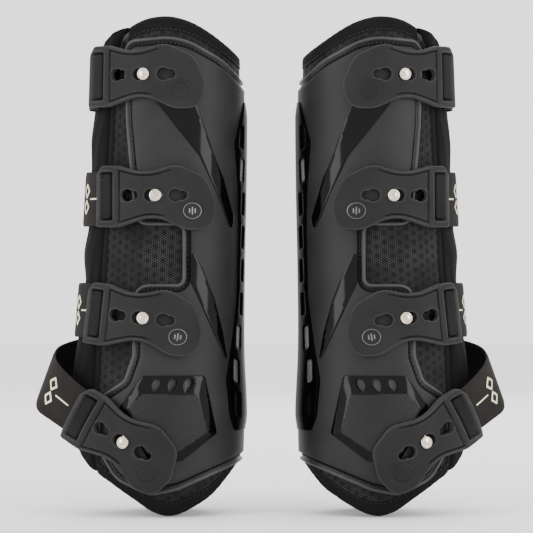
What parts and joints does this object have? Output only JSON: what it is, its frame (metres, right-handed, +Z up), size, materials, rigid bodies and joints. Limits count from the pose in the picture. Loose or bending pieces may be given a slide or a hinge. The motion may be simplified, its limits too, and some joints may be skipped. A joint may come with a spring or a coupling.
{
  "type": "tendon boots",
  "caption": "Pair of open-front horse tendon boots: hard shell over a padded sleeve, elastic straps with keyhole tabs on metal studs.",
  "frame": {"origin": "centre of the pair's footprint, at the height of the boots' lowest rim", "axes": "+Z up the legs, -Y the outer side that carries the studs, +X to the right; the left boot's front faces -X and the right boot's front faces +X"},
  "size_m": [0.2831, 0.0994, 0.3017],
  "materials": {
    "shell_tpu": "matte moulded TPU, charcoal black",
    "gloss_black": "gloss moulded trim",
    "strap_rubber": "matte rubber with a fine rib",
    "piping_rubber": "satin sewn flange with piped edge",
    "neoprene": "jersey-faced neoprene",
    "foam": "closed-cell foam",
    "air_mesh": "spacer mesh, black",
    "binding_knit": "knitted binding tape",
    "elastic_web": "woven elastic with a printed mark",
    "nickel": "satin nickel",
    "steel_mesh": "fine bright mesh",
    "badge_silver": null
  },
  "bodies": {
    "left_boot": {"left_neoprene_lining": "neoprene", "left_foam_padding": "foam", "left_mesh_facing": "air_mesh", "left_top_binding": "binding_knit", "left_bottom_binding": "binding_knit", "left_front_flap": "neoprene", "left_outer_shell": "shell_tpu", "left_edge_flange": "piping_rubber", "left_fetlock_panels": "gloss_black", "left_vent_screens": "steel_mesh", "left_gloss_inlays": "gloss_black", "left_tendon_guard": "gloss_black", "left_studs": "nickel", "left_stud_washers": "nickel", "left_strap_anchors": "strap_rubber", "left_elastic_1": "elastic_web", "left_elastic_2": "elastic_web", "left_elastic_3": "elastic_web", "left_elastic_4": "elastic_web"},
    "left_strap_1": {"left_tab_1": "strap_rubber", "left_badge_1": "badge_silver"},
    "left_strap_2": {"left_tab_2": "strap_rubber", "left_badge_2": "badge_silver"},
    "left_strap_3": {"left_tab_3": "strap_rubber", "left_badge_3": "badge_silver"},
    "left_strap_4": {"left_tab_4": "strap_rubber", "left_badge_4": "badge_silver"},
    "right_boot": {"right_neoprene_lining": "neoprene", "right_foam_padding": "foam", "right_mesh_facing": "air_mesh", "right_top_binding": "binding_knit", "right_bottom_binding": "binding_knit", "right_front_flap": "neoprene", "right_outer_shell": "shell_tpu", "right_edge_flange": "piping_rubber", "right_fetlock_panels": "gloss_black", "right_vent_screens": "steel_mesh", "right_gloss_inlays": "gloss_black", "right_tendon_guard": "gloss_black", "right_studs": "nickel", "right_stud_washers": "nickel", "right_strap_anchors": "strap_rubber", "right_elastic_1": "elastic_web", "right_elastic_2": "elastic_web", "right_elastic_3": "elastic_web", "right_elastic_4": "elastic_web"},
    "right_strap_1": {"right_tab_1": "strap_rubber", "right_badge_1": "badge_silver"},
    "right_strap_2": {"right_tab_2": "strap_rubber", "right_badge_2": "badge_silver"},
    "right_strap_3": {"right_tab_3": "strap_rubber", "right_badge_3": "badge_silver"},
    "right_strap_4": {"right_tab_4": "strap_rubber", "right_badge_4": "badge_silver"}
  },
  "joints": [
    {"name": "pair_spacing", "type": "slide", "parent": "left_boot", "child": "right_boot", "axis": [1, 0, 0], "range_m": [0, 0.25]},
    {"name": "left_strap_1_open", "type": "hinge", "parent": "left_boot", "child": "left_strap_1", "pos_m": [-0.12089, -0.02076, 0.266], "axis": [0, 0, -1], "range_deg": [0, 100], "deforming": ["left_elastic_1"]},
    {"name": "left_strap_2_open", "type": "hinge", "parent": "left_boot", "child": "left_strap_2", "pos_m": [-0.11642, -0.03194, 0.1932], "axis": [0, 0, -1], "range_deg": [0, 100], "deforming": ["left_elastic_2"]},
    {"name": "left_strap_3_open", "type": "hinge", "parent": "left_boot", "child": "left_strap_3", "pos_m": [-0.12266, -0.03018, 0.12462], "axis": [-0.1034, 0.0156, -0.9945], "range_deg": [0, 100], "deforming": ["left_elastic_3"]},
    {"name": "left_strap_4_open", "type": "hinge", "parent": "left_boot", "child": "left_strap_4", "pos_m": [-0.1251, -0.0261, 0.06992], "axis": [-0.4897, 0.1595, -0.8572], "range_deg": [0, 100], "deforming": ["left_elastic_4"]},
    {"name": "right_strap_1_open", "type": "hinge", "parent": "right_boot", "child": "right_strap_1", "pos_m": [0.12281, -0.01579, 0.266], "axis": [0, 0, 1], "range_deg": [0, 100], "deforming": ["right_elastic_1"]},
    {"name": "right_strap_2_open", "type": "hinge", "parent": "right_boot", "child": "right_strap_2", "pos_m": [0.11932, -0.02732, 0.1932], "axis": [0, 0, 1], "range_deg": [0, 100], "deforming": ["right_elastic_2"]},
    {"name": "right_strap_3_open", "type": "hinge", "parent": "right_boot", "child": "right_strap_3", "pos_m": [0.12539, -0.02503, 0.12462], "axis": [-0.1016, -0.0246, 0.9945], "range_deg": [0, 100], "deforming": ["right_elastic_3"]},
    {"name": "right_strap_4_open", "type": "hinge", "parent": "right_boot", "child": "right_strap_4", "pos_m": [0.12746, -0.02075, 0.06992], "axis": [-0.474, -0.2016, 0.8572], "range_deg": [0, 100], "deforming": ["right_elastic_4"]}
  ]
}
